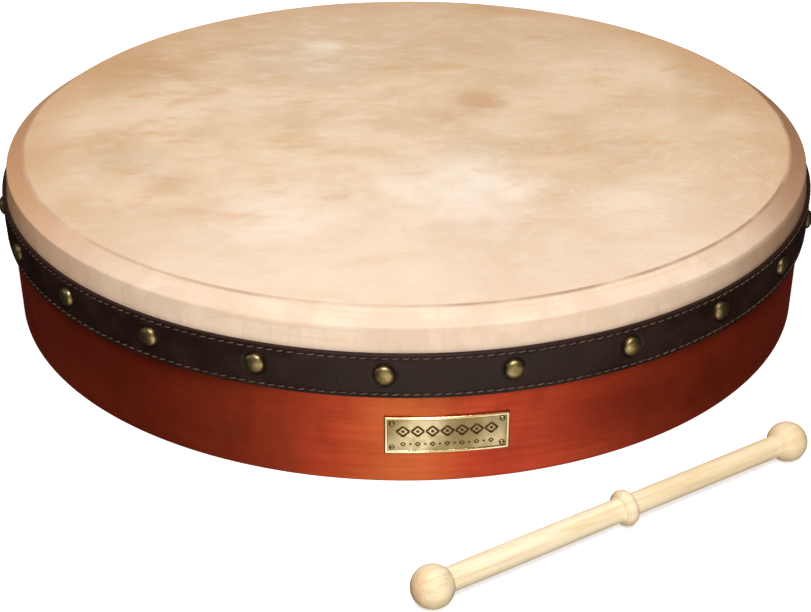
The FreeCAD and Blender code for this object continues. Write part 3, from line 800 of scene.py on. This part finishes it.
def make_stitches(name, node, height, material):
    """One row of separate stitches, each a little out of line with the next."""
    row = Gather()
    verts, faces = stitch_shape()
    floor = STRIP_RADIUS - 0.36 * MM
    margin = 3 * MM
    count = int((FULL_TURN * STRIP_RADIUS - 2 * margin) / STITCH_PITCH)
    first, run = BACK + margin / STRIP_RADIUS, FULL_TURN - 2 * margin / STRIP_RADIUS
    for step in range(count):
        azimuth = first + (step + 0.5) / count * run + chance.uniform(-0.25, 0.25) * MM / STRIP_RADIUS
        radius = floor + chance.uniform(-0.05, 0.05) * MM
        place = on_side(azimuth, radius, height + chance.uniform(-0.1, 0.1) * MM)
        lean = Matrix.Rotation(math.radians(STITCH_SLANT + chance.uniform(-3.5, 3.5)), 4, "X")
        size = Matrix.Diagonal((1, chance.uniform(0.92, 1.06), chance.uniform(0.9, 1.1), 1))
        row.add(verts, faces, place @ lean @ size)
    place_piece(row.make(name), "drum", "thread", material, node)


def tack_profile():
    """A tack's outline from its point to its crown: cone, shank, rolled brim and dome."""
    brim = TACK_RADIUS * 0.965
    shank, brim_top = 0.9 * MM, 0.4 * MM
    profile = [(-9.3 * MM, 0.0), (-7.3 * MM, shank), (-0.4 * MM, shank)]
    profile += [(0.05 * MM, TACK_RADIUS * 0.75), (0.0, TACK_RADIUS * 0.95)]
    for angle in (0.4, 1.2, 2.0, 2.7):
        along = (0.3 * (1 - math.cos(angle)) - 0.05) * MM
        profile.append((along, brim + 0.2 * MM * math.sin(angle)))
    for angle in np.radians(np.linspace(8, 90, 14)):
        lift = math.sin(angle) ** 0.92
        profile.append((brim_top + (TACK_RISE - brim_top) * lift, brim * math.cos(angle) ** 0.94))
    profile[-1] = (TACK_RISE, 0.0)
    return profile


def make_tacks():
    """Dome heads with a rolled brim, each set a little askew, on round shanks."""
    tacks = Gather()
    verts, faces = lathe_verts(tack_profile(), 40)
    seat = STRIP_RADIUS - 0.35 * MM
    for azimuth in TACK_AZIMUTHS:
        place = on_side(azimuth, seat, TACK_HEIGHT + chance.uniform(-0.25, 0.25) * MM)
        tilt = Matrix.Rotation(math.radians(chance.uniform(-2.5, 2.5)), 4, "Y")
        yaw = Matrix.Rotation(math.radians(chance.uniform(-2.5, 2.5)), 4, "Z")
        tacks.add(verts, faces, place @ tilt @ yaw)
    brass = make_aged_brass("antique_brass", STRIP_RADIUS, TACK_RISE)
    place_piece(tacks.make("tacks_antique"), "drum", "aged_brass", brass, "dome_tacks")


def make_rim():
    """The bent rim: eased lower edges, bevelled under the skin."""
    outer, inner = RIM_RADIUS, RIM_RADIUS - RIM_WALL
    ease = RIM_EASE
    crown = RIM_TOP - 1.0 * MM
    section = spread((inner, crown), (inner, ease), 12)
    section += arc_points((inner + ease, ease), ease, 180, 270, 6)
    section += arc_points((outer - ease, ease), ease, 270, 360, 6)
    section += spread((outer, ease + 1.0 * MM), (outer, RIM_BEVEL_FOOT), 24)
    section += spread((outer, RIM_BEVEL_FOOT), (inner, crown), 4)

    def lean(_, radii, heights):
        return radii - lean_in(radii, heights), heights

    rim = turned_ring("rim_bent", section, 900, lean)
    place_piece(rim, "drum", "rim_wood", make_rim_wood(), "rim_shell")


def make_hoop(material):
    """The inner hoop under the skin's edge, rounded inside."""
    outer, inner = RIM_RADIUS - RIM_WALL, hoop_high.x - HOOP_WALL
    foot, crown = hoop_low.z, hoop_high.z
    ease, bearing = 1.2 * MM, 4.0 * MM
    section = arc_points((inner + ease, foot + ease), ease, 180, 270, 5)
    section += [(outer, foot), (outer, crown - 2.7 * MM), (outer - 3.6 * MM, crown - 0.4 * MM)]
    section += arc_points((inner + bearing, crown - bearing), bearing, 90, 180, 9)
    hoop = turned_ring("hoop_glued", section, 720)
    place_piece(hoop, "drum", "plain_wood", material, "bearing_hoop")


# Nameplate ----------


def bend_to_rim(points, radius):
    """Turn flat (along, up, out) points into places on the drum's front."""
    placed = []
    for along, up, out in points:
        azimuth = FRONT + along / radius
        placed.append(((radius + out) * math.cos(azimuth), (radius + out) * math.sin(azimuth), up))
    return placed


def plate_front():
    """Flat (along, up, out) points over the plate's front: eased edge, border and sunk field."""
    half_long = PLATE_ARC * RIM_RADIUS / 2
    half_tall = (plate_high.z - plate_low.z) / 2
    middle = (plate_high.z + plate_low.z) / 2
    ease, ease_drop = 0.6 * MM, 0.5 * MM
    border, slope = 1.4 * MM, 0.4 * MM
    points = []
    for up in np.linspace(-half_tall, half_tall, PLATE_ROWS):
        for along in np.linspace(-half_long, half_long, PLATE_COLUMNS):
            inset = min(half_long - abs(along), half_tall - abs(up))
            rounded = np.clip(inset / ease, 0, 1)
            edge_height = PLATE_THICKNESS - ease_drop * (1 - math.sqrt(1 - (1 - rounded) ** 2))
            sink = np.clip((inset - border) / slope, 0, 1)
            sink = sink * sink * (3 - 2 * sink)
            points.append((along, middle + up, edge_height - PLATE_SINK * sink))
    return points


def plate_outline():
    """Numbers of the points round the plate's edge."""
    rows, columns = PLATE_ROWS, PLATE_COLUMNS
    outline = list(range(columns))
    outline += [row * columns + columns - 1 for row in range(1, rows)]
    outline += [(rows - 1) * columns + column for column in range(columns - 2, -1, -1)]
    outline += [row * columns for row in range(rows - 2, 0, -1)]
    return outline


def make_plate(border_metal, field_metal):
    """The nameplate, curved to the rim: eased edges, polished border, sunk matt field."""
    points = plate_front()
    outline = plate_outline()
    faces = grid_faces(PLATE_ROWS, PLATE_COLUMNS, False, False)
    first_back, count = len(points), len(outline)
    for index in outline:
        along, up, _ = points[index]
        points.append((along, up, 0.05 * MM))
    for step in range(count):
        following = (step + 1) % count
        back, back_following = first_back + step, first_back + following
        faces.append((outline[step], back, back_following, outline[following]))
    faces.append(tuple(reversed(range(first_back, first_back + count))))
    facing_out = [tuple(reversed(face)) for face in faces]
    plate = new_object("nameplate_engraved", bend_to_rim(points, RIM_RADIUS), facing_out)
    place_piece(plate, "drum", "plate_brass", border_metal, "nameplate")
    plate.data.materials.append(field_metal)
    for face in plate.data.polygons:
        x, y, z = face.center
        along = abs(math.atan2(y, x) - FRONT) * RIM_RADIUS
        inset = min(plate_high.z - z, z - plate_low.z, PLATE_ARC * RIM_RADIUS / 2 - along)
        is_front = math.hypot(x, y) - RIM_RADIUS > 0.5 * MM
        face.material_index = int(is_front and inset > 1.7 * MM)


def ribbon(gather, path, width, thick):
    """Lay a raised flat ribbon along a path of (along, up) points on the plate's field."""
    sides = []
    buried, ridge = PLATE_FIELD - 0.2 * MM, PLATE_FIELD + thick
    count = len(path)
    for step, (along, up) in enumerate(path):
        before, after = path[max(step - 1, 0)], path[min(step + 1, count - 1)]
        run = Vector((after[0] - before[0], after[1] - before[1])).normalized()
        normal = Vector((-run.y, run.x)) * width / 2
        for offset, out in ((-1, buried), (-0.85, ridge), (0.85, ridge), (1, buried)):
            sides.append((along + normal.x * offset, up + normal.y * offset, out))
    faces = grid_faces(count, 4, False, True)
    faces += [tuple(reversed(face)) for face in end_caps(count, 4)]
    gather.add(bend_to_rim(sides, RIM_RADIUS), faces, Matrix.Identity(4))


def lozenge(gather, centre, up, half, width, thick):
    """A lozenge of four ribbons, open where it is larger than they are wide."""
    tall = half * 0.95
    corners = [(centre - half, up), (centre, up + tall), (centre + half, up), (centre, up - tall)]
    for one, two in zip(corners, corners[1:] + corners[:1]):
        ribbon(gather, [one, two], width, thick)


def make_ornament(material):
    """A row of lozenges with studs in them, over a finer row, in place of any lettering."""
    ornament = Gather()
    middle = (plate_low.z + plate_high.z) / 2
    upper, lower = middle + 2.3 * MM, middle - 4.9 * MM
    for step in range(-3, 4):
        centre = step * 7.0 * MM
        lozenge(ornament, centre, upper, 3.0 * MM, 1.1 * MM, 0.18 * MM)
        lozenge(ornament, centre, upper, 0.55 * MM, 0.8 * MM, 0.18 * MM)
    for step in range(-6, 7):
        half = 0.4 * MM if step % 2 else 1.15 * MM
        lozenge(ornament, step * 3.5 * MM, lower, half, 0.6 * MM, 0.14 * MM)
    piece = ornament.make("nameplate_ornament")
    piece.data.materials.append(material)
    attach(piece, "drum")


def make_pins(material):
    """Four small domed pins near the plate's corners."""
    pins = Gather()
    seat = RIM_RADIUS + PLATE_FIELD
    shank, head, brim = 0.6 * MM, 1.45 * MM, 0.1 * MM
    profile = [(-6 * MM, 0.0), (-5 * MM, shank), (-0.2 * MM, shank), (0.0, 1.3 * MM), (brim, head)]
    for angle in np.radians(np.linspace(12, 90, 8)):
        profile.append((brim + (PIN_RISE - brim) * math.sin(angle), head * math.cos(angle)))
    profile[-1] = (PIN_RISE, 0.0)
    verts, faces = lathe_verts(profile, 28)
    for side in (-1, 1):
        for height in (plate_low.z + PIN_INSET, plate_high.z - PIN_INSET):
            pins.add(verts, faces, on_side(FRONT + side * PIN_ARC / 2, seat, height))
    place_piece(pins.make("nameplate_pin_heads"), "drum", "plate_brass", material, "nameplate_pins")


# Tipper ----------


def tipper_profile():
    """The turned outline, from the left ball's pole to the right's."""
    ball = BALL_RADIUS
    profile = [(-BALL_PLACE - ball, 0.0)]
    for angle in np.radians(np.linspace(180, 35, 30))[1:]:
        profile.append((-BALL_PLACE + ball * math.cos(angle), ball * math.sin(angle)))
    neck, cove = -BALL_PLACE + ball * 0.823, COLLAR_LEFT - 1.4 * MM
    for share in np.linspace(0.002, 1.0, 24):
        belly = 0.15 * MM * math.sin(math.pi * share ** 0.7)
        profile.append((neck + (cove - neck) * share, LEFT_SHAFT + belly - 0.06 * MM * share))
    # A short cove sweeps up into the bead; the bead rolls over and ends in a sharp step.
    curl = 1.3 * MM
    for angle in np.radians(np.linspace(-75, 0, 7)):
        profile.append((cove + curl * math.cos(angle), 7.0 * MM + curl * math.sin(angle)))
    for angle in np.radians(np.linspace(158, 28, 18)):
        along = COLLAR_LEFT + (3.2 + 3.3 * math.cos(angle)) * MM
        profile.append((along, (6.0 + 2.7 * math.sin(angle)) * MM))
    step = 0.05 * MM
    profile.append((COLLAR_RIGHT - step, 6.9 * MM))
    profile.append((COLLAR_RIGHT, 6.6 * MM))
    profile.append((COLLAR_RIGHT + step, RIGHT_SHAFT))
    far_neck = BALL_PLACE - ball * 0.842
    for share in np.linspace(0.01, 1.0, 22):
        along = COLLAR_RIGHT + step + (far_neck - COLLAR_RIGHT) * share
        profile.append((along, RIGHT_SHAFT + 0.12 * MM * share))
    for angle in np.radians(np.linspace(146, 0, 30))[:-1]:
        profile.append((BALL_PLACE + ball * math.cos(angle), ball * math.sin(angle)))
    profile.append((BALL_PLACE + ball, 0.0))
    return profile


def shade_tipper_and_tint_ends(wood):
    """Paint shade darker towards the right end, and let the end grain at both poles take a warmer, darker
    tone.
    """
    colour = wood.shader.inputs["Base Color"].links[0].from_socket
    middle_x = TIPPER_MIDDLE.x
    # Painted shade: the tipper turns tan towards its right end, where less light falls.
    far = wood.ramp(wood.split()[0], middle_x - 40 * MM, middle_x + BALL_PLACE, 0.0, 0.55)
    colour = wood.mix(far, colour, linear(226, 196, 150))
    wobble = wood.noise(wood.where, 160.0, 3.0, 0.6)
    reach = BALL_PLACE + BALL_RADIUS
    for side in (-1, 1):
        x = TIPPER_MIDDLE.x + side * reach * math.cos(TIPPER_HEADING)
        y = TIPPER_MIDDLE.y + side * reach * math.sin(TIPPER_HEADING)
        pole = wood.near_point(x, y, wobble, 6 * MM)
        colour = wood.mix(wood.ramp(pole, 1 * MM, 11 * MM, 0.6, 0.0), colour, linear(232, 184, 136))
    wood.colour(colour)


def make_tipper():
    """The beater: balls, swelling shaft, cove and bead, turned from pale wood."""
    verts, faces = lathe_verts(tipper_profile(), 64)
    turned = Gather()
    turned.add(verts, faces, Matrix.Translation(TIPPER_MIDDLE) @ Matrix.Rotation(TIPPER_HEADING, 4, "Z"))
    light, dark = linear(250, 232, 198), linear(232, 204, 158)
    wood = make_plain_wood("tipper_pale_wood", light, dark, 22, 300, TIPPER_HEADING)
    wood.set(Specular_IOR_Level=0.4)
    shade_tipper_and_tint_ends(wood)
    place_piece(turned.make("tipper_turned"), "tipper", "tipper_wood", wood.material, "tipper")


def finish_cad_nodes(plain_wood):
    """Give the crossbars, their blocks and screws, which keep their CAD shapes, their finishes."""
    bar_light, bar_dark = linear(176, 122, 76), linear(132, 84, 48)
    finishes = {
        "crossbar_left_right": make_plain_wood("bar_wood_x", bar_light, bar_dark, 16, 260).material,
        "crossbar_front_back": make_plain_wood("bar_wood_y", bar_light, bar_dark, 16, 260, BACK).material,
        "bar_screws": make_steel(),
    }
    for side in ("right", "back", "left", "front"):
        finishes[f"bar_block_{side}"] = plain_wood
    for node, finish in finishes.items():
        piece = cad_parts[node]
        for holder in piece.material_slots:
            holder.material = finish


# Table, light and camera ----------

DRUM_MIDDLE = Vector((0, 0, 60 * MM))


def make_table():
    """A plain white table top. It lights nothing, so the drum's side keeps its own tone."""
    half = 6.0
    corners = [(-half, -half, 0), (half, -half, 0), (half, half, 0), (-half, half, 0)]
    table = new_object("table_top", corners, [(0, 1, 2, 3)], False)
    table.location.z = -0.1 * MM
    paper = Finish("table_white", roughness=0.9)
    tone = paper.noise(paper.where, 3.0, 2.0)
    paper.colour(paper.mix(tone, (0.80, 0.80, 0.80, 1), (0.82, 0.82, 0.82, 1)))
    paper.set(Specular_IOR_Level=0.0, Emission_Color=(1, 1, 1, 1), Emission_Strength=0.62)
    table.data.materials.append(paper.material)
    table.visible_glossy = False
    table.visible_diffuse = False


def make_light(name, azimuth, elevation, distance, size, power):
    """A square soft box, aimed at the drum; angles in degrees, power in watts."""
    lamp = bpy.data.lights.new(name, "AREA")
    lamp.shape = "SQUARE"
    lamp.size = size
    lamp.energy = power
    box = bpy.data.objects.new(name, lamp)
    bpy.context.scene.collection.objects.link(box)
    turn, rise = math.radians(azimuth), math.radians(elevation)
    level = math.cos(rise)
    toward = Vector((level * math.cos(turn), level * math.sin(turn), math.sin(rise)))
    box.location = DRUM_MIDDLE + distance * toward
    box.rotation_euler = (DRUM_MIDDLE - box.location).to_track_quat("-Z", "Y").to_euler()


def make_room():
    """A dim room with one bright soft patch low in front, for the brass and the lacquer to show."""
    world = bpy.data.worlds.new("studio")
    world.use_nodes = True
    nodes, links = world.node_tree.nodes, world.node_tree.links
    place = nodes.new("ShaderNodeTexCoord").outputs["Generated"]
    azimuth, fall = math.radians(-83), math.radians(-29)
    toward = (math.cos(fall) * math.cos(azimuth), math.cos(fall) * math.sin(azimuth), math.sin(fall))
    along = nodes.new("ShaderNodeVectorMath")
    along.operation = "DOT_PRODUCT"
    along.inputs[1].default_value = toward
    links.new(place, along.inputs[0])
    patch = nodes.new("ShaderNodeMapRange")
    patch.interpolation_type = "SMOOTHSTEP"
    links.new(along.outputs["Value"], patch.inputs["Value"])
    edge, core = math.cos(math.radians(44)), math.cos(math.radians(8))
    dim, bright = 0.012, 2.1
    for socket, number in zip(patch.inputs[1:5], (edge, core, dim, bright)):
        socket.default_value = number
    background = nodes["Background"]
    background.inputs["Color"].default_value = (1.0, 0.96, 0.90, 1)
    links.new(patch.outputs["Result"], background.inputs["Strength"])
    world.cycles.sampling_method = "NONE"
    bpy.context.scene.world = world


def make_camera():
    """The camera, placed and turned as the drum is seen: from the front, a little left, looking down."""
    eye = Vector((-0.0706, -0.8407, 0.4437))
    ahead = Vector((0.07221, 0.86823, -0.49088)).normalized()
    right = ahead.cross(Vector((0, 0, 1))).normalized()
    up = right.cross(ahead)
    lean = 0.0029
    roll = Matrix.Rotation(lean, 3, ahead)
    right, up = roll @ right, roll @ up
    lens = bpy.data.cameras.new("camera")
    lens.lens = 69.25
    lens.sensor_width = 36.0
    lens.clip_start = 0.01
    camera = bpy.data.objects.new("camera", lens)
    bpy.context.scene.collection.objects.link(camera)
    turn = Matrix((right, up, -ahead)).transposed()
    camera.matrix_world = Matrix.Translation(eye) @ turn.to_4x4()
    bpy.context.scene.camera = camera


make_camera()
make_table()
make_room()
make_light("key_softbox", -92, 50, 2.10, 0.75, 39)
make_light("top_softbox", 90, 72, 2.20, 1.30, 20)
make_light("left_fill", -165, 26, 2.0, 0.9, 3)
make_light("back_softbox", 90, 3, 2.4, 0.4, 4)
bpy.context.scene.view_settings.view_transform = "Standard"

bare_light, bare_dark = linear(212, 170, 122), linear(184, 136, 92)
hoop_wood = make_plain_wood("bare_beech", bare_light, bare_dark, 26, 420, round_grain=True)
thread_wax = make_thread()
make_rim()
make_hoop(hoop_wood.material)
make_skin()
make_strip()
make_stitches("stitches_lower", "lower_stitching", STRIP_FOOT + STITCH_INSET, thread_wax)
make_stitches("stitches_upper", "upper_stitching", STRIP_TOP - STITCH_INSET, thread_wax)
make_tacks()
polished_light, polished_dark = linear(226, 212, 174), linear(172, 150, 108)
polished = make_plate_brass("plate_polished", 0.14, 0.20, 0.01 * MM, polished_light, polished_dark)
matt_light, matt_dark = linear(204, 188, 148), linear(140, 122, 84)
matt = make_plate_brass("plate_matt", 0.40, 0.50, 0.06 * MM, matt_light, matt_dark)
make_plate(polished, matt)
make_ornament(make_dark_inlay())
make_pins(make_aged_brass("pin_brass", RIM_RADIUS + PLATE_FIELD, PIN_RISE))
make_tipper()
finish_cad_nodes(hoop_wood.material)
